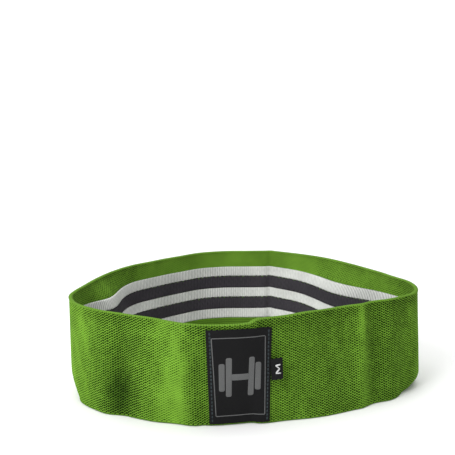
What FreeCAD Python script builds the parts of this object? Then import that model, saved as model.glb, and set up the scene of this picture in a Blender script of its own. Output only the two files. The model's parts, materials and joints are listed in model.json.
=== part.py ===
import FreeCAD, Part
import math
import os
import Sketcher

# A fabric resistance band: a wide elastic strip sewn into a loop that stands on one edge.
# Millimetres. +Z is up along the band's width, the label faces -Y, and the origin is on the
# floor under the middle of the loop.

SIZES = (
    ("loop_length", 278, "outside length of the open loop, end to end"),
    ("loop_depth", 228, "outside depth of the loop, from the label's face to the back"),
    ("band_width", 80, "width of the strip, which is the height of the loop"),
    ("fabric_thick", 2.6, "whole thickness of the knitted sleeve"),
    ("knit_wall", 0.9, "each of the sleeve's two knitted walls"),
    ("hem", 1.6, "solid knit along both edges"),
    ("thread_height", 1.2, "height of one rubber thread"),
    ("thread_pitch", 2.4, "from one rubber thread to the next"),
    ("thread_gap", 0.05, "clearance of a thread in the sleeve"),
    ("white_stripe", 9.2, "height of a white grip stripe"),
    ("grey_stripe", 11.2, "height of a grey grip stripe"),
    ("white_rise", 0.25, "how far a white stripe stands off the knit"),
    ("grey_rise", 0.35, "how far a grey stripe stands off the knit"),
    ("end_start", 95, "where the moving ends begin, from the middle"),
    ("label_middle", -5.7, "middle of the label along X"),
    ("label_width", 46.6, "width of the label, measured along X"),
    ("label_height", 75, "height of the label"),
    ("label_thick", 0.9, "thickness of the label"),
    ("border_side", 4.4, "from the label's side edges to the border line"),
    ("border_end", 6.5, "from the label's top and bottom to the border line"),
    ("border_line", 0.7, "width of the border line"),
    ("print_rise", 0.12, "thickness of the border, the emblem and the letter"),
    ("lap_width", 32, "how far the strip's two ends overlap"),
    ("stitch_inset", 1.8, "from an edge to the first row of stitches"),
    ("row_gap", 1.1, "from one row of stitches to the next"),
    ("stitch_thick", 0.5, "thread of a stitch"),
    ("stitch_length", 2.1, "length of a stitch"),
    ("stitch_pitch", 3.0, "from one stitch to the next"),
    ("emblem_side", 8.3, "from the label's side edges to the dumbbell emblem"),
    ("emblem_bar", 5, "thickness of the dumbbell's bar"),
    ("plate_width", 4.4, "width of each dumbbell plate"),
    ("large_plate", 31, "height of an inner plate"),
    ("small_plate", 22, "height of an outer plate"),
    ("plate_gap", 0.8, "gap between two plates"),
    ("tab_length", 7.4, "how far the size tab stands out"),
    ("tab_height", 16, "height of the size tab"),
    ("tab_thick", 0.9, "thickness of the folded size tab"),
    ("tab_middle", 42, "height of the tab's middle above the floor"),
    ("tab_root", 0.6, "radius of the tab's sewn root"),
    ("tab_gap", 0.35, "clearance between the tab and what it stands beside"),
    ("letter_height", 4.6, "height of the size letter"),
    ("letter_width", 7.5, "width of the size letter"),
    ("letter_stroke", 1.1, "stroke of the size letter"),
    # The loop lies like a belt round eight upright pegs. Radii are of the belt's outer face.
    ("front_radius", 88, ""),
    ("front_right_radius", 34, ""),
    ("right_end_radius", 24, ""),
    ("right_back_radius", 52, ""),
    ("back_right_radius", 25, ""),
    ("back_left_radius", 34, ""),
    ("left_back_radius", 50, ""),
    ("left_end_radius", 38, ""),
)

# Each peg's centre, as shares of the loop's length and depth. The four outermost pegs take
# one coordinate from the loop's own size, so that the belt just reaches it.
LENGTH = "sizes.loop_length"
DEPTH = "sizes.loop_depth"
FACE = "(sizes.label_thick + sizes.stitch_thick)"
PEGS = (
    ("front", f"-0.079 * {LENGTH}", f"{FACE} + sizes.front_radius - {DEPTH} / 2"),
    ("front_right", f"0.252 * {LENGTH}", f"-0.184 * {DEPTH}"),
    ("right_end", f"{LENGTH} / 2 - sizes.right_end_radius", f"-0.088 * {DEPTH}"),
    ("right_back", f"0.223 * {LENGTH}", f"0.114 * {DEPTH}"),
    ("back_right", f"0.079 * {LENGTH}", f"{DEPTH} / 2 - sizes.back_right_radius"),
    ("back_left", f"-0.101 * {LENGTH}", f"0.333 * {DEPTH}"),
    ("left_back", f"-0.259 * {LENGTH}", f"0.035 * {DEPTH}"),
    ("left_end", f"sizes.left_end_radius - {LENGTH} / 2", f"-0.202 * {DEPTH}"),
)

doc = FreeCAD.newDocument("resistance_band")
sheet = doc.addObject("Spreadsheet::Sheet", "sizes")
for row, (name, value, note) in enumerate(SIZES, 1):
    sheet.set(f"A{row}", name)
    sheet.set(f"B{row}", str(value))
    sheet.set(f"C{row}", note)
    sheet.setAlias(f"B{row}", name)
doc.recompute()


def value_of(expression):
    """The number that an expression of the sheet's sizes gives."""
    return float(sheet.evalExpression(expression))


def bind(thing, **expressions):
    """Bind properties of a thing to expressions; a double underscore stands for a dot."""
    for where, expression in expressions.items():
        thing.setExpression(where.replace("__", "."), expression)
    return thing


# ---- the loop's outer outline -------------------------------------------------------------

def belt(pegs):
    """The arcs and straight runs of a belt round pegs (x, y, radius), counter-clockwise."""
    leaving = []
    for (x1, y1, r1), (x2, y2, r2) in zip(pegs, pegs[1:] + pegs[:1]):
        apart = math.hypot(x2 - x1, y2 - y1)
        heading = math.atan2(y2 - y1, x2 - x1)
        leaving.append(heading - math.acos((r1 - r2) / apart))
    arcs = []
    runs = []
    count = len(pegs)
    for i, (x, y, radius) in enumerate(pegs):
        start, end = leaving[i - 1], leaving[i]
        circle = Part.Circle(FreeCAD.Vector(x, y, 0), FreeCAD.Vector(0, 0, 1), radius)
        arcs.append(Part.ArcOfCircle(circle, start, end))
    for i in range(count):
        after = (i + 1) % count
        runs.append(Part.LineSegment(arcs[i].EndPoint, arcs[after].StartPoint))
    return arcs, runs


START, END, CENTRE = 1, 2, 3
SKETCH_ORIGIN = (-1, 1)

numbers = [
    (value_of(x), value_of(y), value_of(f"sizes.{name}_radius")) for name, x, y in PEGS
]
arcs, runs = belt(numbers)
loop = doc.addObject("Sketcher::SketchObject", "loop_outline")
loop.addGeometry(arcs + runs, False)
for i, (name, x, y) in enumerate(PEGS):
    run, next_arc = i + len(PEGS), (i + 1) % len(PEGS)
    loop.addConstraint(Sketcher.Constraint("Tangent", i, END, run, START))
    loop.addConstraint(Sketcher.Constraint("Tangent", run, END, next_arc, START))
    across, along, radius = numbers[i]
    for kind, word, size, source in (
        ("DistanceX", "across", across, x),
        ("DistanceY", "along", along, y),
    ):
        index = loop.addConstraint(
            Sketcher.Constraint(kind, *SKETCH_ORIGIN, i, CENTRE, size)
        )
        loop.renameConstraint(index, f"{name}_{word}")
        loop.setExpression(f"Constraints.{name}_{word}", source)
    index = loop.addConstraint(Sketcher.Constraint("Radius", i, radius))
    loop.renameConstraint(index, f"{name}_radius")
    loop.setExpression(f"Constraints.{name}_radius", f"sizes.{name}_radius")
doc.recompute()


# ---- walls, slabs and what is cut from them -------------------------------------------------

def filled(name, offset):
    """A prism of the band's height inside the outline moved out by an offset."""
    outline = loop
    if value_of(offset):
        outline = doc.addObject("Part::Offset2D", f"{name}_line")
        outline.Source = loop
        outline.Join = "Arc"
        bind(outline, Value=offset)
    prism = doc.addObject("Part::Extrusion", name)
    prism.Base = outline
    prism.DirMode = "Custom"
    prism.Dir = FreeCAD.Vector(0, 0, 1)
    prism.Solid = True
    return bind(prism, LengthFwd="sizes.band_width")


def wall(name, inner, outer):
    """A wall that follows the loop, between two offsets from its outer face."""
    ring = doc.addObject("Part::Cut", name)
    ring.Base = filled(f"{name}_outside", outer)
    ring.Tool = filled(f"{name}_inside", inner)
    return ring


REACH = f"({LENGTH} + {DEPTH})"
FRONT = (f"-{REACH}", "0")
BACK = ("0", REACH)
BOTH = (f"-{REACH}", REACH)
FULL_HEIGHT = ("0", "sizes.band_width")


def slab(name, across, along, upward):
    """A box from its limits along X, Y and Z."""
    box = doc.addObject("Part::Box", name)
    return bind(
        box,
        Placement__Base__x=across[0],
        Placement__Base__y=along[0],
        Placement__Base__z=upward[0],
        Length=f"({across[1]}) - ({across[0]})",
        Width=f"({along[1]}) - ({along[0]})",
        Height=f"({upward[1]}) - ({upward[0]})",
    )


def joined(name, things):
    """Several things that don't meet, kept as one group of solids."""
    group = doc.addObject("Part::Compound", name)
    group.Links = things
    return group


def shared(name, first, second):
    """What two things have in common."""
    common = doc.addObject("Part::Common", name)
    common.Base = first
    common.Tool = second
    return common


def less(name, base, tool):
    """A thing with another cut from it."""
    cut = doc.addObject("Part::Cut", name)
    cut.Base = base
    cut.Tool = tool
    return cut


def rows_up(name, count, first, height, pitch, across=BOTH, along=BOTH):
    """A stack of slabs of one height, a pitch apart."""
    steps = []
    for i in range(count):
        low = f"{first} + {i} * {pitch}"
        steps.append(slab(f"{name}_{i + 1}", across, along, (low, f"{low} + {height}")))
    return joined(name, steps)


nodes = []


def piece(name, shape):
    """Keep a shape as a sub-part of the band, under its own name."""
    shape.Label = name
    nodes.append(shape)
    return shape


# ---- the strip's layers ------------------------------------------------------------------------

STRIPES = "(3 * sizes.white_stripe + 2 * sizes.grey_stripe)"
STRIPES_FOOT = f"((sizes.band_width - {STRIPES}) / 2)"
STRIPE_STEP = "(sizes.white_stripe + sizes.grey_stripe)"
SLEEVE_ROOM = "(sizes.band_width - 2 * sizes.hem)"

thread_count = int((value_of(SLEEVE_ROOM) - value_of("sizes.thread_height"))
                   / value_of("sizes.thread_pitch")) + 1
THREADS_FOOT = (f"((sizes.band_width - sizes.thread_height"
                f" - {thread_count - 1} * sizes.thread_pitch) / 2)")

white_rows = rows_up("white_rows", 3, STRIPES_FOOT, "sizes.white_stripe", STRIPE_STEP)
grey_rows = rows_up("grey_rows", 2, f"{STRIPES_FOOT} + sizes.white_stripe",
                    "sizes.grey_stripe", STRIPE_STEP)
thread_rows = rows_up("thread_rows", thread_count, THREADS_FOOT,
                      "sizes.thread_height", "sizes.thread_pitch")
sleeve_rows = slab("sleeve_rows", BOTH, BOTH, ("sizes.hem", "sizes.band_width - sizes.hem"))


def strip(name, outer):
    """The whole strip's four layers, with its outer face at an offset from the loop's."""
    inner = f"{outer} - sizes.fabric_thick"
    room_out = f"{outer} - sizes.knit_wall"
    room_in = f"{inner} + sizes.knit_wall"
    room = shared(f"{name}_room", wall(f"{name}_room_wall", room_in, room_out), sleeve_rows)
    return {
        "knit": less(f"{name}_sleeve", wall(f"{name}_solid", inner, outer), room),
        "rubber_threads": shared(
            f"{name}_threads",
            wall(f"{name}_thread_wall", f"{room_in} + sizes.thread_gap",
                 f"{room_out} - sizes.thread_gap"),
            thread_rows,
        ),
        "white_grips": shared(
            f"{name}_white", wall(f"{name}_white_wall", f"{inner} - sizes.white_rise", inner),
            white_rows,
        ),
        "grey_grips": shared(
            f"{name}_grey", wall(f"{name}_grey_wall", f"{inner} - sizes.grey_rise", inner),
            grey_rows,
        ),
    }


MIDDLE = ("-sizes.end_start", "sizes.end_start")
SECTIONS = {
    "front": (MIDDLE, FRONT),
    "back": (MIDDLE, BACK),
    "left_end": ((f"-{REACH}", "-sizes.end_start"), BOTH),
    "right_end": (("sizes.end_start", REACH), BOTH),
}
layers = strip("strip", "0")
for section, (across, along) in SECTIONS.items():
    region = slab(f"{section}_region", across, along, FULL_HEIGHT)
    for layer, whole in layers.items():
        piece(f"{section}_{layer}", shared(f"{section}_{layer}_cut", whole, region))

# The strip's tail laps inside the front wall, behind the label, and is sewn down there.
LAP_FACE = "(-sizes.fabric_thick - sizes.grey_rise)"
LAP_LEFT = "(sizes.label_middle - sizes.lap_width / 2)"
LAP_RIGHT = "(sizes.label_middle + sizes.lap_width / 2)"
SEAM_ROOM = "(sizes.stitch_inset + sizes.row_gap + sizes.stitch_thick)"
lap = strip("lap", LAP_FACE)
lap_region = slab("lap_region", (LAP_LEFT, LAP_RIGHT), FRONT, FULL_HEIGHT)
grip_region = slab("lap_grip_region",
                   (f"{LAP_LEFT} + {SEAM_ROOM}", f"{LAP_RIGHT} - {SEAM_ROOM}"),
                   FRONT, FULL_HEIGHT)
for layer, whole in lap.items():
    region = grip_region if layer.endswith("grips") else lap_region
    piece(f"lap_{layer}", shared(f"lap_{layer}_cut", whole, region))


# ---- stitches ----------------------------------------------------------------------------------

def stitch_rows(name, starts, low, high):
    """Upright rows of stitches, each starting at one X, between two heights."""
    spare = value_of(f"{high} - {low} - sizes.stitch_length")
    count = int(spare / value_of("sizes.stitch_pitch")) + 1
    first = (f"({low} + {high} - sizes.stitch_length"
             f" - {count - 1} * sizes.stitch_pitch) / 2")
    rows = []
    for i, start in enumerate(starts):
        across = (start, f"{start} + sizes.stitch_thick")
        rows.append(rows_up(f"{name}_row_{i + 1}", count, first, "sizes.stitch_length",
                            "sizes.stitch_pitch", across, FRONT))
    return joined(name, rows)


LABEL_LEFT = "(sizes.label_middle - sizes.label_width / 2)"
LABEL_RIGHT = "(sizes.label_middle + sizes.label_width / 2)"
LABEL_FOOT = "((sizes.band_width - sizes.label_height) / 2)"
LABEL_TOP = "((sizes.band_width + sizes.label_height) / 2)"
OUTER_ROW = "sizes.stitch_inset"
INNER_ROW = "(sizes.stitch_inset + sizes.row_gap)"

label_thread = wall("label_thread", "sizes.label_thick",
                    "sizes.label_thick + sizes.stitch_thick")
left_rows = (f"{LABEL_LEFT} + {OUTER_ROW}", f"{LABEL_LEFT} + {INNER_ROW}")
right_rows = (f"{LABEL_RIGHT} - {OUTER_ROW} - sizes.stitch_thick",
              f"{LABEL_RIGHT} - {INNER_ROW} - sizes.stitch_thick")
for side, starts in (("left", left_rows), ("right", right_rows)):
    rows = stitch_rows(f"{side}_rows", starts, LABEL_FOOT, LABEL_TOP)
    piece(f"label_stitches_{side}", shared(f"label_{side}_thread", label_thread, rows))

seam_starts = (
    f"{LAP_LEFT} + {OUTER_ROW}",
    f"{LAP_LEFT} + {INNER_ROW}",
    f"{LAP_RIGHT} - {OUTER_ROW} - sizes.stitch_thick",
    f"{LAP_RIGHT} - {INNER_ROW} - sizes.stitch_thick",
)
LAP_BACK = f"({LAP_FACE} - sizes.fabric_thick)"
seam_thread = wall("seam_thread", f"{LAP_BACK} - sizes.stitch_thick", LAP_BACK)
seam_rows = stitch_rows("seam_rows", seam_starts, "sizes.hem", "(sizes.band_width - sizes.hem)")
piece("seam_stitches", shared("seam_stitches_cut", seam_thread, seam_rows))


# ---- the label ---------------------------------------------------------------------------------

label_wall = wall("label_wall", "0", "sizes.label_thick")
label_region = slab("label_region", (LABEL_LEFT, LABEL_RIGHT), FRONT, (LABEL_FOOT, LABEL_TOP))
piece("label_base", shared("label_base_cut", label_wall, label_region))

print_wall = wall("print_wall", "sizes.label_thick", "sizes.label_thick + sizes.print_rise")
border_out = slab(
    "border_out",
    (f"{LABEL_LEFT} + sizes.border_side", f"{LABEL_RIGHT} - sizes.border_side"),
    FRONT,
    (f"{LABEL_FOOT} + sizes.border_end", f"{LABEL_TOP} - sizes.border_end"),
)
SIDE_IN = "(sizes.border_side + sizes.border_line)"
END_IN = "(sizes.border_end + sizes.border_line)"
border_in = slab(
    "border_in",
    (f"{LABEL_LEFT} + {SIDE_IN}", f"{LABEL_RIGHT} - {SIDE_IN}"),
    FRONT,
    (f"{LABEL_FOOT} + {END_IN}", f"{LABEL_TOP} - {END_IN}"),
)
border = less("border_frame", border_out, border_in)
piece("label_border", shared("label_border_cut", print_wall, border))


def emblem_slab(name, near, far, height):
    """A block of the dumbbell between two distances from the label's middle line."""
    middle = "sizes.band_width / 2"
    return slab(name, (f"sizes.label_middle + {near}", f"sizes.label_middle + {far}"), FRONT,
                (f"{middle} - {height} / 2", f"{middle} + {height} / 2"))


HALF = "(sizes.label_width / 2 - sizes.emblem_side)"
SECOND = f"({HALF} - sizes.plate_width - sizes.plate_gap)"
dumbbell = [
    emblem_slab("bar", f"-{SECOND} + sizes.plate_width", f"{SECOND} - sizes.plate_width",
                "sizes.emblem_bar"),
    emblem_slab("left_small", f"-{HALF}", f"-{HALF} + sizes.plate_width", "sizes.small_plate"),
    emblem_slab("left_large", f"-{SECOND}", f"-{SECOND} + sizes.plate_width",
                "sizes.large_plate"),
    emblem_slab("right_large", f"{SECOND} - sizes.plate_width", SECOND, "sizes.large_plate"),
    emblem_slab("right_small", f"{HALF} - sizes.plate_width", HALF, "sizes.small_plate"),
]
emblem = joined("dumbbell", dumbbell)
piece("label_emblem", shared("label_emblem_cut", print_wall, emblem))


# ---- the size tab, which swings on its sewn root ---------------------------------------------

doc.recompute()


def front_face_at(across, out):
    """The point of the front wall at one X, moved out from its outer face."""
    section = loop.Shape.copy()
    if out:
        section = section.makeOffset2D(out)
    ray = Part.makeLine(
        FreeCAD.Vector(across, -value_of(REACH), 0), FreeCAD.Vector(across, 0, 0)
    )
    return section.distToShape(ray)[1][0][0]


root_across = value_of(f"{LABEL_RIGHT} + sizes.tab_gap + sizes.tab_root")
root = front_face_at(root_across, value_of("sizes.tab_gap + sizes.tab_root"))
ROOT_PLACE = {"Placement__Base__x": f"{root.x}", "Placement__Base__y": f"{root.y}"}
TAB_FOOT = "(sizes.tab_middle - sizes.tab_height / 2)"

bead = doc.addObject("Part::Cylinder", "tab_bead")
bind(bead, Radius="sizes.tab_root", Height="sizes.tab_height", Placement__Base__z=TAB_FOOT,
     **ROOT_PLACE)
flap = doc.addObject("Part::Box", "tab_flap")
bind(flap, Length="sizes.tab_length", Width="sizes.tab_thick", Height="sizes.tab_height",
     Placement__Base__x=f"{root.x}", Placement__Base__y=f"{root.y} - sizes.tab_thick / 2",
     Placement__Base__z=TAB_FOOT)
tab = doc.addObject("Part::Fuse", "tab_fuse")
tab.Base = bead
tab.Tool = flap
piece("size_tab", tab)


def letter_m():
    """A block capital M, its foot towards +X so that it reads up the tab."""
    tall, wide = value_of("sizes.letter_height"), value_of("sizes.letter_width")
    stroke = value_of("sizes.letter_stroke")
    slant = stroke * 1.25
    outline = [
        (0, 0), (0, tall), (slant, tall), (wide / 2, tall * 0.45), (wide - slant, tall),
        (wide, tall), (wide, 0), (wide - stroke, 0), (wide - stroke, tall * 0.62),
        (wide / 2, tall * 0.14), (stroke, tall * 0.62), (stroke, 0),
    ]
    face_y = root.y - value_of("sizes.tab_thick") / 2
    foot_x = root.x + (value_of("sizes.tab_length + sizes.tab_root") + tall) / 2
    low = value_of("sizes.tab_middle") - wide / 2
    points = [FreeCAD.Vector(foot_x - up, face_y, low + along) for along, up in outline]
    face = Part.Face(Part.makePolygon(points + points[:1]))
    return face.extrude(FreeCAD.Vector(0, -value_of("sizes.print_rise"), 0))


letter = doc.addObject("Part::Feature", "letter")
letter.Shape = letter_m()
piece("size_letter", letter)


# ---- check every object, then write the sub-parts ------------------------------------------------

doc.recompute()
for thing in doc.Objects:
    if "Invalid" in thing.State or "Error" in thing.State:
        raise RuntimeError(f"{thing.Name} failed: {thing.State}")
for node in nodes:
    shape = node.Shape
    if shape.isNull() or not shape.isValid() or not shape.Solids:
        raise RuntimeError(f"{node.Label} has no valid solid")

print("outer circumference", round(loop.Shape.Length, 1), "mm; tab root", root)
os.makedirs("parts", exist_ok=True)
for node in nodes:
    node.Shape.exportStep(f"parts/{node.Label}.step")
    box = node.Shape.BoundBox
    print(node.Label, len(node.Shape.Solids), "solids",
          [round(v, 1) for v in (box.XMin, box.XMax, box.YMin, box.YMax, box.ZMin, box.ZMax)])
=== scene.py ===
import json
import math

import bpy
import numpy as np
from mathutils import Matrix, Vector


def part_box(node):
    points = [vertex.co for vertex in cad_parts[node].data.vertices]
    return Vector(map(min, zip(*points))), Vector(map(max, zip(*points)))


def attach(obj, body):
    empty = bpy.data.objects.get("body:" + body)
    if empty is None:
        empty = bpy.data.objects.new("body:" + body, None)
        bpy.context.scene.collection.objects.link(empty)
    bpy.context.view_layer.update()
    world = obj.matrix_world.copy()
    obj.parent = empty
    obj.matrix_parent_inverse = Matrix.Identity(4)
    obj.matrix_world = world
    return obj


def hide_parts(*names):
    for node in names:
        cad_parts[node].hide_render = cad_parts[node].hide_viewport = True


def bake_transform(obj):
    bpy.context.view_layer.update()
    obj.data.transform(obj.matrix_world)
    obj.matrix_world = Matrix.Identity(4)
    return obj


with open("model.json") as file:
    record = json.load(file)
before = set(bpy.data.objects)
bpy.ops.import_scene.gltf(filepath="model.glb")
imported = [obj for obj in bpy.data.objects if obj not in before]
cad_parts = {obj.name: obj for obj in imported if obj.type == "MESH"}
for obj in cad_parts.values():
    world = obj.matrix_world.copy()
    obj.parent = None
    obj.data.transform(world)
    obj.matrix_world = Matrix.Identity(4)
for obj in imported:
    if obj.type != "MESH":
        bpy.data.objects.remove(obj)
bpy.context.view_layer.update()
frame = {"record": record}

# A fabric resistance band: one knitted strip sewn into a loop, with grip stripes inside, a label
# over the seam and a size tab. Lengths are millimetres until a mesh is made.
#
# Every piece is laid out on the strip: "along" is the way round the loop from under the label,
# "up" is the height on the strip, and "out" is the distance from its outer face.

MM = 0.001
BODY, LEFT, RIGHT, TAB = "band", "left_end", "right_end", "size_tab"
SEED = 20
chance = np.random.default_rng(SEED)


def node_box(name):
    """A CAD node's two corners, in millimetres."""
    low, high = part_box(name)
    return np.array(low) / MM, np.array(high) / MM


WIDTH = node_box("front_knit")[1][2]
LABEL_LOW, LABEL_HIGH = node_box("label_base")
TAB_LOW, TAB_HIGH = node_box("size_tab")
LETTER_LOW, LETTER_HIGH = node_box("size_letter")
END_START = node_box("front_knit")[1][0]
TAB_JOINT = next(j for j in frame["record"]["behaviour"]["joints"] if j["child"] == TAB)
TAB_AXIS = np.array(TAB_JOINT["pos_m"]) / MM

# The strip's thickness, and the width of the knit's columns and the height of its rows.
FABRIC = 2.6
STITCH = 1.75
COURSE = 1.95
WHITE_STRIPE, GREY_STRIPE = 9.2, 11.2
STRIPES_FOOT = (WIDTH - 3 * WHITE_STRIPE - 2 * GREY_STRIPE) / 2

# ---- the loop ------------------------------------------------------------------------------

# The outer face at half its height, and how far the rim leans out there.
OUTLINE = (
    (-27, -113.2, 5.0), (-8, -110.8, 5.0), (4, -107.5, 4.0), (12, -105.0, 0.5),
    (30, -98.3, -1.0), (47, -91.0, -4.0), (70, -80.7, -4.5), (95, -67.0, -4.0),
    (119, -51.0, -3.0), (136, -35.8, -2.5), (141.2, -19.0, -2.0), (137.5, -0.2, -1.5),
    (126, 18.0, -0.5), (108, 48.0, 0.0), (88, 73.0, 0.0), (66, 92.0, 0.0),
    (44, 105.0, 0.0), (27, 112.5, 0.0), (4, 112.0, 0.0), (-20, 111.0, 0.0),
    (-41, 105.0, 0.0), (-60, 91.5, 0.0), (-80, 74.0, 0.0), (-100, 54.0, 0.0),
    (-115, 32.0, 0.0), (-127, 3.0, 0.0), (-136, -28.0, 0.0), (-137.2, -47.0, 0.0),
    (-130, -65.0, 0.0), (-114, -80.0, 0.0), (-90, -93.0, 0.0), (-71, -100.3, 0.5),
    (-56, -107.0, 2.5), (-42, -111.6, 4.5),
)
FINE = 60


def closed_curve(points, steps):
    """A smooth closed curve through the points, with this many steps between two of them."""
    p = np.array(points, float)
    before, after, later = np.roll(p, 1, 0), np.roll(p, -1, 0), np.roll(p, -2, 0)
    t = (np.arange(steps) / steps)[None, :, None]
    p0, p1, p2, p3 = (q[:, None, :] for q in (before, p, after, later))
    curve = 0.5 * (
        2 * p1
        + (p2 - p0) * t
        + (2 * p0 - 5 * p1 + 4 * p2 - p3) * t**2
        + (3 * p1 - p0 - 3 * p2 + p3) * t**3
    )
    return curve.reshape(-1, p.shape[1])


curve = closed_curve(OUTLINE, FINE)
start = np.argmin(np.where(curve[:, 1] < 0, np.abs(curve[:, 0]), np.inf))
curve = np.roll(curve, -start, 0)
closed = np.vstack([curve, curve[:1]])
reach = np.concatenate([[0], np.cumsum(np.linalg.norm(np.diff(closed[:, :2], axis=0), axis=1))])
ROUND = reach[-1]
heading = np.gradient(np.vstack([curve[-3:], closed, curve[1:3]])[:, :2], axis=0)[3:-2]
outward = np.column_stack([heading[:, 1], -heading[:, 0]])
outward /= np.linalg.norm(outward, axis=1)[:, None]


def along_at(across, front):
    """How far round the loop the wall crosses one X, on its front or back."""
    side = curve[:, 1] < 0 if front else curve[:, 1] > 0
    return reach[np.argmin(np.where(side, np.abs(curve[:, 0] - across), np.inf))]


def bumps(along, up, size, seed):
    """Soft unevenness from -1 to 1 that closes round the loop, about one size across."""
    draw = np.random.default_rng(seed)
    total = np.zeros(np.broadcast(along, up).shape)
    turns = max(1, round(ROUND / size))
    for _ in range(7):
        waves = max(1, int(turns * draw.uniform(0.5, 1.4)))
        lift, phase = draw.uniform(-1, 1), draw.uniform(0, 2 * math.pi)
        total += np.sin(2 * math.pi * (waves * along / ROUND + lift * up / size) + phase)
    return total / 7


# Upright folds in the wall: X, on the front or not, half width along the wall, how far the fold
# leans along the wall from foot to rim, and how far the wall stands out there at its foot, at
# half its height and at its rim.
FOLDS = (
    (-91, True, 9, -3, -1.4, -4.2, -0.2),
    (-106, True, 9, -4, 1.6, 1.4, 0.2),
    (-70, True, 8, -6, 0.9, 1.0, 0.2),
    (-47, True, 9, -14, 1.8, 3.0, 0.4),
    (-34, True, 5, -4, -0.8, -1.4, -0.2),
    (22, True, 6, 0, 0.0, -0.6, 0.0),
    (60, True, 14, 0, 0.9, -0.6, 0.4),
    (88, True, 6, 4, 0.9, 2.8, 0.8),
    (100, True, 8, 2, -1.1, -2.8, -0.8),
    (112, True, 9, 0, 1.0, 1.4, 0.4),
    (126, True, 7, 0, -1.0, -1.1, -0.2),
    (27, False, 4, 0, 2.0, 2.2, 1.3),
)
# Where the back wall sinks in below its rim: X, half widths along the wall before and after it,
# depth, how far under the rim it is reached, and how far the grip stripes sag there.
HOLLOWS = ((93, 50, 42, 13.0, 17, 3.4), (-124, 32, 20, 14.0, 13, 1.0))
# Where the lower edge curls in: X, on the front or not, half width, depth and height.
CURLS = ((-137, True, 30, 11.0, 24), (137, True, 20, 7.5, 13), (138, False, 18, 6.0, 11))


def past(along, across, front):
    """How far along the wall a place is past an X."""
    return (along - along_at(across, front) + ROUND / 2) % ROUND - ROUND / 2


# The rim steps up where the strip's two ends meet: how far each way, where, how sharply, and
# how far along the strip it dies out.
RIM_STEP, SEAM_AT, STEP_SHARP, STEP_FADES = 0.8, 3.0, 1.2, 45
# How far the wall strays from its shape, and its rim from its height.
WALL_UNEVEN, RIM_UNEVEN = 0.7, 0.5


def near(along, across, front, width):
    """1 where the wall crosses an X, falling smoothly to 0 away from it."""
    return np.exp(-((past(along, across, front) / width) ** 2))


def hollow_at(along, across, before, after):
    """1 at the middle of a hollow in the back wall, falling to 0 at its own rate each way."""
    gap = past(along, across, False)
    return np.exp(-((gap / np.where(gap < 0, before, after)) ** 2))


def sag_at(along, up):
    """How far the grip stripes lie below their usual height."""
    sag = sum(drop * hollow_at(along, x, before, after)
              for x, before, after, _, _, drop in HOLLOWS)
    return sag * np.clip(np.sin(math.pi * up / WIDTH), 0, 1) ** 0.6


def shape_of(along, up):
    """How far the wall stands out of the plain outline."""
    share = up / WIDTH
    total = lean_at(along) * (2 * share - 1)
    for across, front, width, leans, foot, middle, rim in FOLDS:
        height = foot * (1 - share) * (1 - 2 * share) + rim * share * (2 * share - 1)
        height += 4 * middle * share * (1 - share)
        total = total + near(along - leans * (share - 0.5), across, front, width) * height
    for across, before, after, depth, reached, _ in HOLLOWS:
        below = 1 - np.exp(-(((WIDTH - up) / reached) ** 2))
        total = total - depth * hollow_at(along, across, before, after) * below
    for across, front, width, depth, tall in CURLS:
        low = np.clip(1 - up / tall, 0, 1) ** 2
        total = total - depth * near(along, across, front, width) * low
    uneven = bumps(along, up * 0.25, 46, 3) * (0.35 + 0.65 * np.abs(2 * share - 1))
    return total + WALL_UNEVEN * uneven


def lean_at(along):
    """How far the rim leans out of the outline."""
    return np.interp(along % ROUND, reach, closed[:, 2])


def rim_step(along, up):
    """How far the seam lifts or lowers the strip near its rim."""
    seam = (along + ROUND / 2) % ROUND - ROUND / 2
    step = np.tanh((seam - SEAM_AT) / STEP_SHARP) * np.exp(-((seam / STEP_FADES) ** 2))
    return RIM_STEP * step * (up / WIDTH) ** 6


def wall(along, up, out):
    """Points on the strip, in metres."""
    along, up, out = np.broadcast_arrays(*(np.asarray(v, float) for v in (along, up, out)))
    turn = along % ROUND
    x, y = (np.interp(turn, reach, closed[:, k]) for k in (0, 1))
    nx, ny = (np.interp(turn, reach, outward[:, k]) for k in (0, 1))
    move = out + shape_of(along, up)
    drop = RIM_UNEVEN * bumps(along, 0, 120, 5) * up / WIDTH
    height = up + drop + rim_step(along, up)
    return np.stack([x + nx * move, y + ny * move, height], -1) * MM


# ---- mesh making ----------------------------------------------------------------------------

def mesh_piece(name, points, faces, materials, indices=None, flat=None, uv=None, relief=None):
    """A Blender object from arrays of points and faces."""
    mesh = bpy.data.meshes.new(name)
    sizes = np.array([len(f) for f in faces]) if not isinstance(faces, np.ndarray) else None
    if sizes is None:
        sizes = np.full(len(faces), faces.shape[1])
        corners = faces.reshape(-1)
    else:
        corners = np.concatenate(faces)
    mesh.vertices.add(len(points))
    mesh.vertices.foreach_set("co", np.asarray(points, np.float32).reshape(-1))
    mesh.loops.add(len(corners))
    mesh.loops.foreach_set("vertex_index", corners.astype(np.int32))
    mesh.polygons.add(len(sizes))
    starts = np.concatenate([[0], np.cumsum(sizes)[:-1]])
    mesh.polygons.foreach_set("loop_start", starts.astype(np.int32))
    mesh.update(calc_edges=True)
    smooth = np.ones(len(sizes), bool)
    if flat is not None:
        smooth[flat] = False
    mesh.polygons.foreach_set("use_smooth", smooth)
    for material in materials:
        mesh.materials.append(material)
    if indices is not None:
        mesh.polygons.foreach_set("material_index", np.asarray(indices, np.int32))
    if uv is not None:
        layer = mesh.uv_layers.new(name="strip")
        layer.data.foreach_set("uv", uv[corners].astype(np.float32).reshape(-1))
    if relief is not None:
        layer = mesh.attributes.new("relief", "FLOAT", "POINT")
        layer.data.foreach_set("value", relief.astype(np.float32))
    mesh.validate()
    mesh.update()
    piece = bpy.data.objects.new(name, mesh)
    bpy.context.scene.collection.objects.link(piece)
    return piece


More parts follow.
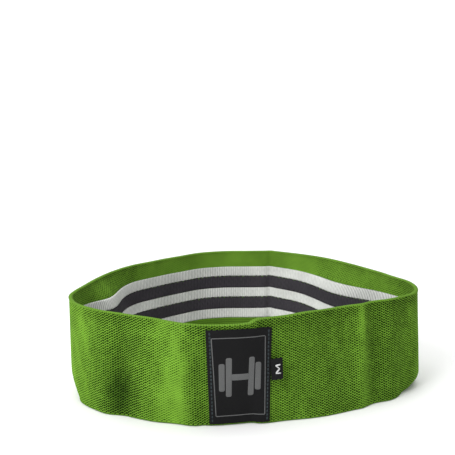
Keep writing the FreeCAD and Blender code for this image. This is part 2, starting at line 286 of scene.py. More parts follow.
def grid_faces(columns, rows):
    """Quads of a tube: rows go round it, columns go along it."""
    i = np.arange(columns - 1)[:, None]
    j = np.arange(rows)[None, :]
    here, beside = i * rows + j, i * rows + (j + 1) % rows
    quads = np.stack([here, here + rows, beside + rows, beside], -1)
    return quads.reshape(-1, 4)


STRAND_SIDES = 8


class Parts:
    """Tubes laid on the strip, gathered into one piece."""

    def __init__(self):
        self.points, self.faces, self.caps = [], [], []
        self.uv, self.relief, self.kinds, self.count = [], [], [], 0

    def tube(self, along, up, out, relief=None, kinds=None, place=wall, closed=False):
        """along, up and out are columns by rows; a row goes round the tube's section."""
        along, up, out = np.broadcast_arrays(along, up, out)
        columns, rows = along.shape
        self.points.append(place(along, up, out).reshape(-1, 3))
        self.uv.append(np.stack([along, up], -1).reshape(-1, 2) * 0.01)
        if relief is None:
            relief = np.ones(along.shape)
        self.relief.append(np.broadcast_to(relief, along.shape).reshape(-1))
        quads = grid_faces(columns, rows)
        kinds = np.zeros(rows, int) if kinds is None else kinds
        self.kinds.append(np.tile(kinds, columns - 1))
        if closed:
            last = quads[-rows:].copy()
            quads = np.vstack([quads, (last + rows) % (columns * rows)])
            self.kinds.append(kinds)
        self.faces += list(quads + self.count)
        if not closed:
            ring = np.arange(rows) + self.count
            self.caps += [len(self.faces), len(self.faces) + 1]
            self.faces += [ring, ring[::-1] + (columns - 1) * rows]
            self.kinds += [kinds[:1], kinds[:1]]
        self.count += columns * rows

    def strand(self, path, width, height, closed=False, blunt=0.35, place=wall):
        """A thread along a path of (along, up, out), flattened to a width and a height."""
        path = np.asarray(path, float)
        if closed:
            heading = np.roll(path, -1, 0) - np.roll(path, 1, 0)
        else:
            heading = np.gradient(path, axis=0)
        heading = heading[:, :2] / np.linalg.norm(heading[:, :2], axis=1)[:, None]
        size = np.ones(len(path))
        if not closed:
            t = np.linspace(-1, 1, len(path))
            size = np.maximum(np.sqrt(1 - t**2), blunt)
        turn = np.arange(STRAND_SIDES) * 2 * math.pi / STRAND_SIDES
        across = size[:, None] * np.cos(turn) * width / 2
        lift = size[:, None] * np.sin(turn) * height / 2
        self.tube(
            path[:, :1] + heading[:, 1:] * across,
            path[:, 1:2] - heading[:, :1] * across,
            path[:, 2:] + lift,
            0.55 + 0.4 * np.sin(turn) * np.ones((len(path), 1)),
            place=place,
            closed=closed,
        )

    def build(self, name, materials):
        """The gathered tubes as one Blender object."""
        return mesh_piece(
            name,
            np.concatenate(self.points),
            self.faces,
            materials,
            np.concatenate(self.kinds),
            self.caps,
            np.concatenate(self.uv),
            np.concatenate(self.relief),
        )


def spread(start, end, step):
    """Evenly spaced values from start to end, about a step apart."""
    return np.linspace(start, end, max(2, int(round(abs(end - start) / step)) + 1))


# ---- materials --------------------------------------------------------------------------------

def new_material(name, roughness, shine=0.05):
    """A plain material, with its node tree and its shader."""
    material = bpy.data.materials.new(name)
    material.use_nodes = True
    shader = material.node_tree.nodes["Principled BSDF"]
    shader.inputs["Roughness"].default_value = roughness
    shader.inputs["Specular IOR Level"].default_value = shine
    return material, material.node_tree, shader


def add(tree, kind, **values):
    """A node with its properties, or its inputs where the name is one, set."""
    node = tree.nodes.new(kind)
    for key, value in values.items():
        label = key.replace("_", " ").capitalize()
        if hasattr(node, key):
            setattr(node, key, value)
        else:
            node.inputs[label].default_value = value
    return node


def ramp(tree, source, *stops):
    """A colour ramp over a source, from (place, colour) stops."""
    node = tree.nodes.new("ShaderNodeValToRGB")
    elements = node.color_ramp.elements
    while len(elements) < len(stops):
        elements.new(0.5)
    for element, (place, colour) in zip(elements, stops):
        element.position = place
        element.color = (*colour, 1)
    tree.links.new(source, node.inputs["Fac"])
    return node.outputs["Color"]


def stretched_noise(tree, across, upward, scale, detail=3):
    """Noise over the strip's own coordinates, stretched by two factors."""
    coordinates = add(tree, "ShaderNodeUVMap", uv_map="strip")
    mapping = tree.nodes.new("ShaderNodeMapping")
    mapping.inputs["Scale"].default_value = (across, upward, 1)
    tree.links.new(coordinates.outputs["UV"], mapping.inputs["Vector"])
    noise = add(tree, "ShaderNodeTexNoise", Scale=scale, Detail=detail)
    tree.links.new(mapping.outputs["Vector"], noise.inputs["Vector"])
    return noise.outputs["Fac"]


def mixed(tree, first, second, factor):
    """The first colour times the second, by a share; either may be a socket or a colour."""
    node = add(tree, "ShaderNodeMix", data_type="RGBA", blend_type="MULTIPLY")
    node.inputs["Factor"].default_value = factor
    for key, value in (("A", first), ("B", second)):
        socket = next(s for s in node.inputs if s.name == key and s.type == "RGBA")
        if isinstance(value, tuple):
            socket.default_value = (*value, 1)
        else:
            tree.links.new(value, socket)
    return next(s for s in node.outputs if s.type == "RGBA")


def bump(tree, shader, source, strength, distance):
    """Bump in a shader, from a source's values."""
    node = add(tree, "ShaderNodeBump", Strength=strength, Distance=distance)
    tree.links.new(source, node.inputs["Height"])
    tree.links.new(node.outputs["Normal"], shader.inputs["Normal"])


def yarn_material(name, deep, middle, high, shine=0.05, fuzz=0.35):
    """Yarn whose colour goes from its gaps to its crowns, with fibres along it."""
    material, tree, shader = new_material(name, 0.85, shine)
    relief = add(tree, "ShaderNodeAttribute", attribute_name="relief")
    colour = ramp(tree, relief.outputs["Fac"], (0.05, deep), (0.5, middle), (0.95, high))
    fibres = stretched_noise(tree, 90, 260, 3.0, 4)
    tint = ramp(tree, fibres, (0.3, (0.72,) * 3), (0.7, (1.2,) * 3))
    patches = stretched_noise(tree, 4, 5, 1.0, 2)
    shade = ramp(tree, patches, (0.35, (0.9,) * 3), (0.65, (1.08,) * 3))
    colour = mixed(tree, mixed(tree, colour, tint, fuzz), shade, 1.0)
    tree.links.new(colour, shader.inputs["Base Color"])
    bump(tree, shader, fibres, 0.35, 0.0002)
    return material


def cloth_material(name, colour, weave):
    """A woven ribbon: fine lengthwise ribs and a slight unevenness."""
    material, tree, shader = new_material(name, 0.75, 0.08)
    threads = stretched_noise(tree, *weave, 6.0, 2)
    tint = ramp(tree, threads, (0.3, (0.75,) * 3), (0.7, (1.35,) * 3))
    tree.links.new(mixed(tree, colour, tint, 1.0), shader.inputs["Base Color"])
    bump(tree, shader, threads, 0.3, 0.00015)
    return material


KNIT = yarn_material("knit_yarn", (0.002, 0.006, 0.001), (0.048, 0.114, 0.009),
                     (0.215, 0.440, 0.042))
INNER = yarn_material("inner_yarn", (0.008, 0.020, 0.002), (0.058, 0.128, 0.011),
                      (0.132, 0.272, 0.027))
ROLL = yarn_material("edge_yarn", (0.020, 0.045, 0.004), (0.070, 0.150, 0.015),
                     (0.125, 0.255, 0.028))
WHITE = yarn_material("white_grip", (0.09, 0.09, 0.09), (0.46, 0.47, 0.45),
                      (0.70, 0.71, 0.68), shine=0.1, fuzz=0.15)
GREY = yarn_material("grey_grip", (0.005, 0.0045, 0.0058), (0.019, 0.017, 0.021),
                     (0.050, 0.046, 0.053), shine=0.12, fuzz=0.8)
LABEL = cloth_material("label_cloth", (0.0090, 0.0090, 0.0095), (20, 260))
PRINT = cloth_material("label_yarn", (0.110, 0.112, 0.112), (260, 40))
THREAD = cloth_material("label_thread", (0.066, 0.088, 0.096), (200, 60))
LETTER = cloth_material("letter_yarn", (0.52, 0.52, 0.52), (200, 60))


# ---- the knitted strip ------------------------------------------------------------------------

# How open the front's knit is along X. More open knit shows more dark holes: partly the knit gaping
# where it is stretched, partly painted shade, opened further on the shaded sides of the wall's
# folds.
OPEN_KNIT_AND_SHADE = (
    (-140, 0.45), (-122, 0.50), (-110, 0.95), (-94, 1.45), (-84, 1.35), (-72, 0.75),
    (-58, 0.30), (-47, 0.20), (-40, 0.80), (-30, 1.40), (16, 0.80), (40, 0.95),
    (62, 1.20), (80, 1.00), (89, 0.25), (99, 1.30), (116, 1.20), (130, 0.90), (140, 0.50),
)
# How open the inner face's knit is along X: partly its own open stitch, partly painted shade, more
# open and so darker on the left, where the inner wall is turned from the light.
INNER_OPEN_KNIT_AND_SHADE = (
    (-140, 1.1), (-105, 1.0), (-85, 0.35), (-30, 0.20), (60, 0.15), (68, 0.25),
    (80, 0.7), (140, 0.8),
)
# Where a patch of painted shade lies, low on the left of its front in a fold's hollow, and half its
# size.
SHADE_PATCH_X, SHADE_PATCH_UP, SHADE_PATCH_WIDE, SHADE_PATCH_TALL = -95, 16, 9, 20
# What the front's table is multiplied by, what is added in the painted shade patch, whose gaping
# holes darken it, and how open the back is.
FRONT_GAPE, SHADE_PATCH_GAPE, BACK_OPENNESS = 1.15, 0.6, 0.75


def shade_patch_at(along, up):
    """1 in the middle of the painted shade patch, falling to 0 round it."""
    level = np.exp(-(((up - SHADE_PATCH_UP) / SHADE_PATCH_TALL) ** 2))
    return near(along, SHADE_PATCH_X, True, SHADE_PATCH_WIDE) * level


def open_knit_and_shade_at(along, up):
    """How far the knit's holes gape, partly painted shade: the front's table blends into one value
    for the back.
    """
    across = np.interp(along % ROUND, reach, closed[:, 0])
    front = np.clip((35 - np.interp(along % ROUND, reach, closed[:, 1])) / 60, 0, 1)
    told = np.interp(across, *zip(*OPEN_KNIT_AND_SHADE))
    uneven = 0.35 * bumps(along, up, 60, 12) + 0.30 * bumps(along, up, 17, 14)
    below_rim = 0.45 * np.exp(-(((WIDTH - up - 4.5) / 3.5) ** 2)) * (told > 0.5)
    told = FRONT_GAPE * (told + below_rim) + SHADE_PATCH_GAPE * shade_patch_at(along, up)
    return np.clip(front * told + (1 - front) * BACK_OPENNESS + uneven, 0.05, 1.9)


# How large each hole is, by column and row, beside its place's openness. The table repeats.
HOLE_COLUMNS, HOLE_ROWS, HOLE_SEED = 211, 53, 9
HOLES_DRAWN = np.random.default_rng(HOLE_SEED).uniform(0.55, 1.35, (HOLE_COLUMNS, HOLE_ROWS))
# How far a hole reaches from its middle, along the strip and up it.
HOLE_WIDE, HOLE_TALL = 0.62, 0.48
# How much the holes slant, one way and the other in turn, and more to one side on each half.
SLANT, SLANT_BIAS = 0.45, 0.28
# How far the rows wander up and down, and by what share of a row every other column is shifted.
ROWS_WANDER, COLUMN_SHIFT = 0.7, 0.46
# The yarn's height at the borders of its rows, how much lower it is in the middle of a row and
# in the painted shade patch, where lowering it darkens its colour, and how deep a hole is.
YARN_TOP, YARN_DIP, YARN_SHADE_PATCH_DIP, HOLE_DEPTH = 0.98, 0.30, 0.30, 1.15


def knit_relief(along, up):
    """Height of the knit, 0 in its holes and 1 on its yarn: columns of slanting holes."""
    wale = along / STITCH
    column = np.round(wale)
    odd = column % 2
    side = (wale - column) * STITCH
    course = (up + ROWS_WANDER * bumps(along, up, 37, 8)) / COURSE - COLUMN_SHIFT * odd
    row = np.round(course)
    level = (course - row) * COURSE
    bias = -SLANT_BIAS * np.tanh(4 * np.sin(2 * math.pi * along / ROUND))
    slant = np.where(odd, -SLANT, SLANT) + bias
    drawn = HOLES_DRAWN[column.astype(int) % HOLE_COLUMNS, row.astype(int) % HOLE_ROWS]
    spread_out = (side / HOLE_WIDE) ** 2 + ((level - slant * side) / HOLE_TALL) ** 2
    hole = drawn * np.exp(-spread_out)
    groove = (level / COURSE * 2) ** 2
    # In the painted shade patch the yarn is lowered a little, which darkens its colour.
    yarn = YARN_TOP - YARN_DIP * (1 - groove) - YARN_SHADE_PATCH_DIP * shade_patch_at(along, up)
    return np.clip(yarn - HOLE_DEPTH * hole * open_knit_and_shade_at(along, up), 0, 1)


# How far apart the fine lines on the inner face are.
INNER_LINES = 1.15


def inner_relief(along, up):
    """Height of the inner knit: the same holes, drawn flatter, among fine lengthwise lines, and
    lower, so darker, at its foot as painted shade.
    """
    lines = 0.5 + 0.5 * np.cos(2 * math.pi * up / INNER_LINES)
    across = np.interp(along % ROUND, reach, closed[:, 0])
    told = np.interp(across, *zip(*INNER_OPEN_KNIT_AND_SHADE))
    clear = np.clip(told + 0.4 * bumps(along, up, 40, 17), 0, 1)
    # Painted shade: the inner face is darker low down, below the grip stripes, near the floor.
    shaded = 0.22 * np.clip((STRIPES_FOOT + 3 - up) / 6, 0, 1)
    return 1 - shaded - 0.35 * lines * (1 - clear) - clear * (1 - knit_relief(along, up))


EDGE = FABRIC / 2
# How far the bead along each edge stands out, and how deep the knit's relief is on each face.
ROLL_OUT = 0.45
OUTER_DEPTH, INNER_DEPTH = 0.60, 0.25
OUTER_STEP, INNER_STEP, ALONG_STEP = 0.38, 3.0, 0.38
OUTER_KIND, INNER_KIND, ROLL_KIND = 0, 1, 2


def strip_section():
    """The strip's section, as (up, out, kind) rows that go round it."""
    outer = spread(EDGE, WIDTH - EDGE, OUTER_STEP)
    turn = np.linspace(0, math.pi, 9)[1:-1]
    inner = np.concatenate([
        spread(WIDTH - EDGE, WIDTH - STRIPES_FOOT, OUTER_STEP),
        spread(WIDTH - STRIPES_FOOT, STRIPES_FOOT, INNER_STEP)[1:-1],
        spread(STRIPES_FOOT, EDGE, 2 * OUTER_STEP),
    ])
    up = np.concatenate([
        outer,
        WIDTH - EDGE + np.sin(turn) * EDGE,
        inner,
        EDGE - np.sin(turn) * EDGE,
    ])
    out = np.concatenate([
        np.zeros(len(outer)),
        (np.cos(turn) - 1) * EDGE,
        np.full(len(inner), -FABRIC),
        (-np.cos(turn) - 1) * EDGE,
    ])
    kind = np.repeat(
        [OUTER_KIND, ROLL_KIND, INNER_KIND, ROLL_KIND],
        [len(outer), len(turn), len(inner), len(turn)],
    )
    return up, out, kind


def build_strip(name, start, end, base=0.0, place=wall):
    """One length of the knitted strip, a closed shell whose outer face is at a base."""
    up, out, kind = strip_section()
    along = spread(start, end, ALONG_STEP)[:, None]
    outer, inner, roll = kind == OUTER_KIND, kind == INNER_KIND, kind == ROLL_KIND
    relief = np.ones((len(along), len(up)))
    relief[:, outer] = knit_relief(along, up[outer])
    relief[:, inner] = inner_relief(along, up[inner])
    loops = 0.5 + 0.5 * np.cos(2 * math.pi * along / STITCH + np.where(up[roll] > WIDTH / 2, 0, 1))
    relief[:, roll] = 1 - 0.5 * loops
    height = np.where(outer, OUTER_DEPTH, INNER_DEPTH)
    edge = np.minimum(up, WIDTH - up)
    bead = ROLL_OUT * np.exp(-((edge - 0.9) / 0.8) ** 2)
    facing = np.where(out > -EDGE, 1, -1)
    moved = out + facing * (bead - height * (1 - relief))
    parts = Parts()
    parts.tube(along, up, base + moved, relief, kind, place=place)
    return parts.build(name, [KNIT, INNER, ROLL])


FRONT_LEFT, FRONT_RIGHT = along_at(-END_START, True), along_at(END_START, True)
BACK_LEFT, BACK_RIGHT = along_at(-END_START, False), along_at(END_START, False)
BACK_MIDDLE = along_at(0, False)
SPANS = {
    "front_right": (0, FRONT_RIGHT),
    "end_right": (FRONT_RIGHT, BACK_RIGHT),
    "back_right": (BACK_RIGHT, BACK_MIDDLE),
    "back_left": (BACK_MIDDLE, BACK_LEFT),
    "end_left": (BACK_LEFT, FRONT_LEFT),
    "front_left": (FRONT_LEFT, ROUND),
}


def stretch(piece):
    """Fixes a piece's placement into its mesh."""
    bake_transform(piece)


STANDS_FOR = {
    "front_right": ("front_knit", "front_rubber_threads"),
    "end_right": ("right_end_knit", "right_end_rubber_threads"),
    "back_right": ("back_knit", "back_rubber_threads"),
    "end_left": ("left_end_knit", "left_end_rubber_threads"),
}
for span, (start, end) in SPANS.items():
    strip = build_strip(f"knit_{span}", start, end)
    stretch(strip)
    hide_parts(*STANDS_FOR.get(span, ()))

# ---- the grip stripes ---------------------------------------------------------------------------

# A stripe's mesh step along the strip, and how deep the troughs between its ribs are.
STRIPE_STEP = 0.42
RIB_DEPTH = 0.25


def stripe_tube(parts, start, end, foot, top, rise, ragged, ribs, base):
    """One raised stripe on the inner face, its visible side towards the loop's inside."""
    along = spread(start, end, STRIPE_STEP)[:, None]
    count = 11
    across = np.concatenate([np.linspace(0, 1, count), np.linspace(1, 0, 3)[1:-1]])
    visible = np.arange(len(across)) < count
    fray = ragged * (np.abs(np.sin(math.pi * along / STITCH)) - 0.5 + 0.8 * bumps(along, 0, 5, 21))
    up = foot + (top + fray - foot) * across
    up = up - sag_at(along, up)
    crown = np.clip(np.minimum(across, 1 - across) * 9, 0, 1) ** 0.5
    rib = ribs * (0.5 + 0.5 * np.cos(2 * math.pi * along / STITCH)) ** 2
    fuzz = 0.12 * bumps(along, up, 3.1, 31)
    across_x = np.interp(along % ROUND, reach, closed[:, 0])
    ends = np.clip((np.abs(across_x) - 60) / 50, 0, 1)
    rib = rib * np.clip(0.65 + 0.35 * ends + 1.3 * bumps(along, 0, 180, 23), 0.35, 1.2)
    relief = np.clip(0.80 - rib + fuzz, 0, 1) * np.ones(len(across))
    lift = rise * crown - RIB_DEPTH * (1 - relief)
    out = np.where(visible, -FABRIC - 0.1 - lift, -FABRIC + 0.35)
    parts.tube(along, up, base + out, np.where(visible, relief, 0.5))


# Each colour's stripes: how many, how far the first one's foot is above the lowest stripe's,
# height, how far they stand off the knit, how ragged their upper borders are, how strong their
# ribs are, and material.
GRIPS = {
    "white": (3, 0, WHITE_STRIPE, 0.35, 0.0, 0.66, WHITE),
    "grey": (2, WHITE_STRIPE, GREY_STRIPE, 0.45, 1.70, 0.30, GREY),
}


def grips(name, colour, start, end, base=0.0):
    """The three white or two grey stripes on one length of the strip."""
    count, first, tall, rise, ragged, ribs, material = GRIPS[colour]
    parts = Parts()
    for i in range(count):
        foot = STRIPES_FOOT + i * (WHITE_STRIPE + GREY_STRIPE) + first
        stripe_tube(parts, start, end, foot, foot + tall, rise, ragged, ribs, base)
    piece = parts.build(name, [material])
    return piece


SIDES = {"right": (0, BACK_MIDDLE, "back"), "left": (BACK_MIDDLE, ROUND, "front")}
for colour in ("white", "grey"):
    for side, (start, end, wall_name) in SIDES.items():
        piece = grips(f"{colour}_grips_{side}", colour, start, end)
        stretch(piece)
        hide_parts(f"{side}_end_{colour}_grips", f"{wall_name}_{colour}_grips")

# ---- the lapped tail and its seam ----------------------------------------------------------------

LAP_LOW, LAP_HIGH = node_box("lap_knit")
# How far the tail lies behind the front wall's inner face.
LAP_GAP = 0.8
LAP_BASE = -FABRIC - LAP_GAP
lap_start = along_at(LAP_LOW[0], True) - ROUND
lap_end = along_at(LAP_HIGH[0], True)


def lap_place(along, up, out):
    """Points on the tail, whose rim lies a little below the front's at its free end."""
    short = np.interp(along, (lap_start, lap_end), (0.030, 0.004))
    return wall(along, up * (1 - short), out)


lap = build_strip("lap_knit_tail", lap_start, lap_end, LAP_BASE, lap_place)
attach(lap, BODY)
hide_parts("lap_knit", "lap_rubber_threads")
for colour in ("white", "grey"):
    piece = grips(f"lap_{colour}_stripes", colour, lap_start + 0.1, lap_end - 0.1, LAP_BASE)
    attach(piece, BODY)
    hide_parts(f"lap_{colour}_grips")


STITCH_LENGTH, STITCH_PITCH = 2.5, 3.0
STITCH_WIDTH, STITCH_HEIGHT = 0.30, 0.34
# How far a stitch strays from its row, and how far it arches and how deep its ends dip.
STITCH_STRAY, STITCH_ARCH, STITCH_DIP = 0.06, 0.18, 0.05


def stitch_row(parts, along, foot, top, out_at, slant=0.0, place=wall):
    """An upright row of stitches, each a short thread that dips into the cloth at both ends."""
    count = int((top - foot - STITCH_LENGTH) / STITCH_PITCH) + 1
    first = (foot + top - STITCH_LENGTH - (count - 1) * STITCH_PITCH) / 2
    t = np.linspace(0, 1, 7)
    for i in range(count):
        up = first + i * STITCH_PITCH + t * STITCH_LENGTH
        side = along + slant * (t - 0.5) + chance.uniform(-STITCH_STRAY, STITCH_STRAY)
        out = out_at(side, up) + STITCH_ARCH * np.sin(math.pi * t) - STITCH_DIP
        path = np.stack([side, up, out], -1)
        parts.strand(path, STITCH_WIDTH, STITCH_HEIGHT, place=place)


def lap_back(_, up):
    """Where the seam's stitches lie on the tail's inner face, the same all over it."""
    return np.full(np.shape(up), LAP_BASE - FABRIC - 0.62)


seam = Parts()
for inset in (2.0, 3.3):
    for at, slant in ((lap_start + inset, 1.0), (lap_end - inset, -1.0)):
        stitch_row(seam, at, 2, WIDTH - 2, lap_back, slant)
piece = seam.build("seam_thread_rows", [ROLL])
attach(piece, BODY)
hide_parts("seam_stitches")

# ---- the label -----------------------------------------------------------------------------------

LABEL_THICK = 0.8
label_start = along_at(LABEL_LOW[0], True) - ROUND
label_end = along_at(LABEL_HIGH[0], True)
LABEL_FOOT, LABEL_TOP = LABEL_LOW[2], LABEL_HIGH[2]
LABEL_MIDDLE = (label_start + label_end) / 2
# How far from the label's sides it is sewn, and how far apart the two rows of a side are.
SEWN, ROWS_APART = 2.4, 0.60
# How far the label's back stands off the knit, and its face is pulled in where it is sewn.
LABEL_OFF, SEWN_DEEP = 0.25, 0.28


def label_face(along, up):
    """How far the label's front stands off the knit: pulled in along its sewn rows."""
    edge = np.minimum(along - label_start, label_end - along)
    sewn = np.exp(-((edge - SEWN) / 0.8) ** 2)
    pucker = 0.5 + 0.5 * np.sin(2 * math.pi * up / 6.1 + 3 * bumps(along, up, 30, 41))
    broad = bumps(along, up, 24, 43)
    return LABEL_OFF + LABEL_THICK - SEWN_DEEP * sewn * (0.7 + 0.3 * pucker) + 0.22 * broad


# How far the label's foot is drawn in at its left and right.
PINCH_LEFT, PINCH_RIGHT = 2.6, 1.0


def label_place(along, up, out):
    """Points on the label, in metres: narrower at its foot, and lower at its top right."""
    share = (up - LABEL_FOOT) / (LABEL_TOP - LABEL_FOOT)
    side = (along - label_start) / (label_end - label_start)
    pinch = (1 - share) * ((1 - side) * PINCH_LEFT - side * PINCH_RIGHT) - 0.5 * (1 - side)
    fall = -0.9 * (1 - share) - share * (1.8 + 2.3 * side**3)
    spots = wall(along + pinch, up + fall, out)
    spots[..., 2] -= rim_step(along + pinch, up + fall) * MM
    return spots


def build_label():
    """The label's cloth, with its edges rounded."""
    along = spread(label_start, label_end, 0.5)[:, None]
    front = spread(LABEL_FOOT + 0.4, LABEL_TOP - 0.4, 0.6)
    turn = np.linspace(0, math.pi, 5)[1:-1]
    radius = LABEL_THICK / 2
    up = np.concatenate([
        front, front[-1] + np.sin(turn) * radius, front[::-8], front[0] - np.sin(turn) * radius,
    ])
    depth = np.concatenate([
        np.zeros(len(front)), (1 - np.cos(turn)) * radius,
        np.full(len(front[::-8]), LABEL_THICK), (1 + np.cos(turn)) * radius,
    ])
    hem = np.clip(np.minimum(along - label_start, label_end - along) / 0.4, 0, 1)
    middle = radius * (1 - np.sqrt(1 - (1 - hem) ** 2))
    out = label_face(along, up) - middle - depth * (1 - middle / radius * 0.8)
    parts = Parts()
    parts.tube(along, up, out, place=label_place)
    return parts.build("label_cloth", [LABEL])


def on_label(along, up, lift):
    """A path of strip places that lies on the label."""
    along, up = np.asarray(along, float), np.asarray(up, float)
    return np.stack([along, up, label_face(along, up) + lift], -1)


def build_border():
    """The woven line round the label's face: a rectangle with barely rounded corners."""
    side, end, corner = 4.6, 6.5, 0.5
    low = np.array([label_start + side, LABEL_FOOT + end])
    high = np.array([label_end - side, LABEL_TOP - end])
    corners = [
        low + (0.8, 0), (high[0] + 0.3, low[1]), high - (0.6, 0), (low[0] - 1.1, high[1]),
    ]
    path = []
    for i, here in enumerate(corners):
        there = np.array(corners[(i + 1) % 4])
        here = np.array(here)
        step = (there - here) / np.linalg.norm(there - here)
        runs = spread(corner, np.linalg.norm(there - here) - corner, 0.7)
        path += [here + step * r for r in runs]
    path = np.array(path)
    parts = Parts()
    parts.strand(on_label(path[:, 0], path[:, 1], 0.02), 0.75, 0.34, closed=True,
                 place=label_place)
    return parts.build("label_border_line", [PRINT])


# How far the emblem stands off the label.
EMBLEM_RISE = 0.22


def pad(parts, along, up, width, height, corner=0.8):
    """A raised block with rounded corners, woven into the label."""
    a = np.unique(np.concatenate([
        spread(along - width / 2, along + width / 2, 0.5),
        along - width / 2 + corner * (1 - np.cos(np.linspace(0.15, math.pi / 2, 5))),
        along + width / 2 - corner * (1 - np.cos(np.linspace(0.15, math.pi / 2, 5))),
    ]))
    gap = np.clip(corner - np.minimum(a - a[0], a[-1] - a), 0, corner * 0.98)
    half = height / 2 - corner + np.sqrt(corner**2 - gap**2)
    across = np.concatenate([spread(-1, 1, 1.2 / height), [1, 0, -1]])
    top = np.arange(len(across)) < len(across) - 3
    ups = up + half[:, None] * across
    ends = np.minimum(1 - np.abs(across), 1)
    crown = np.clip(ends * height / 2 / 0.35, 0.3, 1) * np.clip(
        np.minimum(a - a[0], a[-1] - a)[:, None] / 0.35, 0.3, 1)
    face = label_face(a[:, None] * np.ones(len(across)), ups)
    parts.tube(a[:, None], ups, np.where(top, face + EMBLEM_RISE * crown, face - 0.2),
               place=label_place)


def build_emblem():
    """A plain dumbbell: a bar between two pairs of plates."""
    low, high = node_box("label_emblem")
    half, middle = (high[0] - low[0]) / 2 * 1.06, (low[2] + high[2]) / 2
    plate, gap, tall = 4.4, 0.8, high[2] - low[2]
    small, corner, bar = 0.71, 1.4, 5
    parts = Parts()
    for side in (-1, 1):
        outer = LABEL_MIDDLE + side * (half - plate / 2)
        inner = LABEL_MIDDLE + side * (half - plate * 1.5 - gap)
        pad(parts, outer, middle, plate, tall * small, corner)
        pad(parts, inner, middle, plate, tall, corner)
    pad(parts, LABEL_MIDDLE, middle, 2 * (half - 2 * plate - gap) + 0.2, bar)
    return parts.build("label_dumbbell", [PRINT])


label = build_label()
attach(label, BODY)
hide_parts("label_base")
for piece, node in ((build_border(), "label_border"), (build_emblem(), "label_emblem")):
    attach(piece, BODY)
    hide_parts(node)
for side, edge, sign in (("left", label_start, 1), ("right", label_end, -1)):
    rows = Parts()
    for inset in (SEWN - ROWS_APART / 2, SEWN + ROWS_APART / 2):
        stitch_row(rows, edge + sign * inset, LABEL_FOOT + 1, LABEL_TOP - 1, label_face,
                   place=label_place)
    piece = rows.build(f"label_sewing_{side}", [THREAD])
    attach(piece, BODY)
    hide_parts(f"label_stitches_{side}")

# ---- the size tab --------------------------------------------------------------------------------

TAB_LENGTH = TAB_HIGH[0] - TAB_AXIS[0]
TAB_MIDDLE = (TAB_LOW[2] + TAB_HIGH[2]) / 2


def tab_place(across, up, out):
    """Points on the tab, in metres: across from its root, out from its middle plane."""
    across, up, out = np.broadcast_arrays(across, up, out)
    bend = 0.5 * np.sin(math.pi * across / TAB_LENGTH / 1.4)
    lift = 0.20 * across
    x = TAB_AXIS[0] + across - 0.05 * up
    y = TAB_AXIS[1] - out - bend
    return np.stack([x, y, TAB_MIDDLE + up + lift - 0.6], -1) * MM


def build_tab():
    """A ribbon folded at its tip, both ends caught in the sewn root."""
    ribbon, apart = 0.4, 0.26
    tip = TAB_LENGTH - apart - ribbon / 2
    run = spread(-1.1, tip, 0.5)
    turn = np.linspace(-math.pi / 2, math.pi / 2, 9)[1:-1]
    across = np.concatenate([run, tip + apart * np.cos(turn), run[::-1]])
    out = np.concatenate([
        np.full(len(run), -apart), apart * np.sin(turn), np.full(len(run), apart),
    ])
    root = np.clip((across + 0.5) / 1.5, 0.35, 1)
    out = out * root
    heading = np.gradient(np.stack([across, out], -1), axis=0)
    heading /= np.linalg.norm(heading, axis=1)[:, None]
    normal = np.stack([heading[:, 1], -heading[:, 0]], -1) * ribbon / 2
    ring_across = np.concatenate([across + normal[:, 0], (across - normal[:, 0])[::-1]])
    ring_out = np.concatenate([out + normal[:, 1], (out - normal[:, 1])[::-1]])
    up = spread(-1, 1, 0.06)[:, None] * (TAB_HIGH[2] - TAB_LOW[2]) / 2
    parts = Parts()
    parts.tube(np.tile(ring_across, (len(up), 1)), up, ring_out, place=tab_place)
    return parts.build("size_tab_ribbon", [LABEL])


def build_letter():
    """A block capital M, its top towards the label."""
    wide, tall = LETTER_HIGH[2] - LETTER_LOW[2], LETTER_HIGH[0] - LETTER_LOW[0]
    foot = LETTER_HIGH[0] - TAB_AXIS[0]
    strokes = (
        ((-1, 0), (-0.92, 1), 0.9), ((-0.92, 1), (0, 0.2), 1.25),
        ((0, 0.2), (0.92, 1), 0.9), ((0.92, 1), (1, 0), 1.25),
    )
    parts = Parts()
    for (a, b), (c, d), thick in strokes:
        t = np.linspace(0, 1, 9)
        side = (a + (c - a) * t) * (wide - thick) / 2
        rise = (b + (d - b) * t) * (tall - thick) + thick / 2
        path = np.stack([foot - rise, side, np.full(9, 0.5)], -1)
        parts.strand(path, thick, 0.4, blunt=0.8, place=tab_place)
    return parts.build("size_letter_m", [LETTER])


for piece, slot, node in (
    (build_tab(), "label", "size_tab"),
    (build_letter(), "tab_print", "size_letter"),
):
    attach(piece, TAB)
    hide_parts(node)

# ---- floor, lights and camera -------------------------------------------------------------------

# The floor's front edge, where it starts to sweep up, the sweep's radius, the backdrop's top, and
# half the floor's width.
FLOOR_FRONT, SWEEP_FROM, SWEEP, BACKDROP_TOP, FLOOR_HALF = -3000, 2000, 1500, 6000, 5000
FLOOR_GREY, SKY_LIGHT = 0.86, 0.45
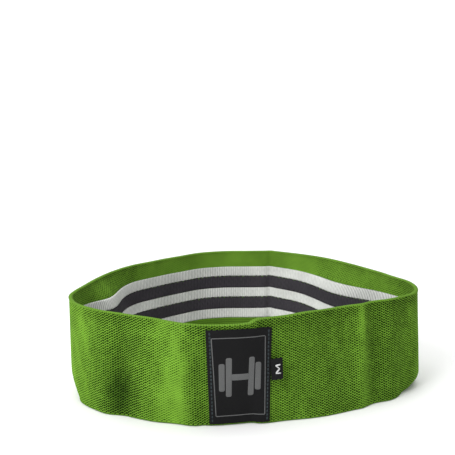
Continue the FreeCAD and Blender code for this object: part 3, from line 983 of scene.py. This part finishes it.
# Each light: name, place, the point it is aimed at, size and power.
LIGHTS = (
    ("key", (-820, -780, 900), (0, 0, 40), 900, 16.5),
    ("fill", (900, -900, 500), (0, 0, 40), 900, 0.8),
    ("overhead", (0, 400, 1700), (0, 300, 0), 2200, 30),
    ("backdrop", (0, 900, 1000), (0, 3300, 500), 900, 60),
)
CAMERA_AT, CAMERA_DOWN = (-14, -720, 271), 11.46
SENSOR, LENS = 36, 71.2


def build_stage():
    """A floor that sweeps up behind the band, in even white light."""
    floor_material, _, shader = new_material("floor", 0.9)
    shader.inputs["Base Color"].default_value = (FLOOR_GREY, FLOOR_GREY, FLOOR_GREY, 1)
    turn = np.linspace(0, math.pi / 2, 17)
    y = np.concatenate([[FLOOR_FRONT], SWEEP_FROM + SWEEP * np.sin(turn), [SWEEP_FROM + SWEEP]])
    z = np.concatenate([[0], SWEEP * (1 - np.cos(turn)), [BACKDROP_TOP]])
    points = [(x, b, c) for b, c in zip(y, z) for x in (-FLOOR_HALF, FLOOR_HALF)]
    quads = np.array([(2 * i, 2 * i + 1, 2 * i + 3, 2 * i + 2) for i in range(len(y) - 1)])
    floor = mesh_piece("floor", np.array(points) * MM, quads, [floor_material])
    world = bpy.data.worlds.new("studio")
    bpy.context.scene.world = world
    world.use_nodes = True
    background = world.node_tree.nodes["Background"]
    background.inputs["Color"].default_value = (1, 1, 1, 1)
    background.inputs["Strength"].default_value = SKY_LIGHT


def area_light(name, place, aim, size, power):
    """A soft square light at a place, aimed at a point, in millimetres."""
    data = bpy.data.lights.new(name, "AREA")
    data.size, data.energy = size * MM, power
    light = bpy.data.objects.new(name, data)
    bpy.context.scene.collection.objects.link(light)
    place, aim = Vector(place) * MM, Vector(aim) * MM
    light.location = place
    light.rotation_euler = (aim - place).to_track_quat("-Z", "Y").to_euler()


def build_camera():
    """The scene's camera, which looks a little down along +Y."""
    data = bpy.data.cameras.new("camera")
    data.sensor_width, data.lens = SENSOR, LENS
    camera = bpy.data.objects.new("camera", data)
    camera.location = [v * MM for v in CAMERA_AT]
    camera.rotation_euler = (math.radians(90 - CAMERA_DOWN), 0, 0)
    bpy.context.scene.collection.objects.link(camera)
    bpy.context.scene.camera = camera


build_stage()
for light in LIGHTS:
    area_light(*light)
build_camera()
bpy.context.scene.view_settings.view_transform = "Standard"
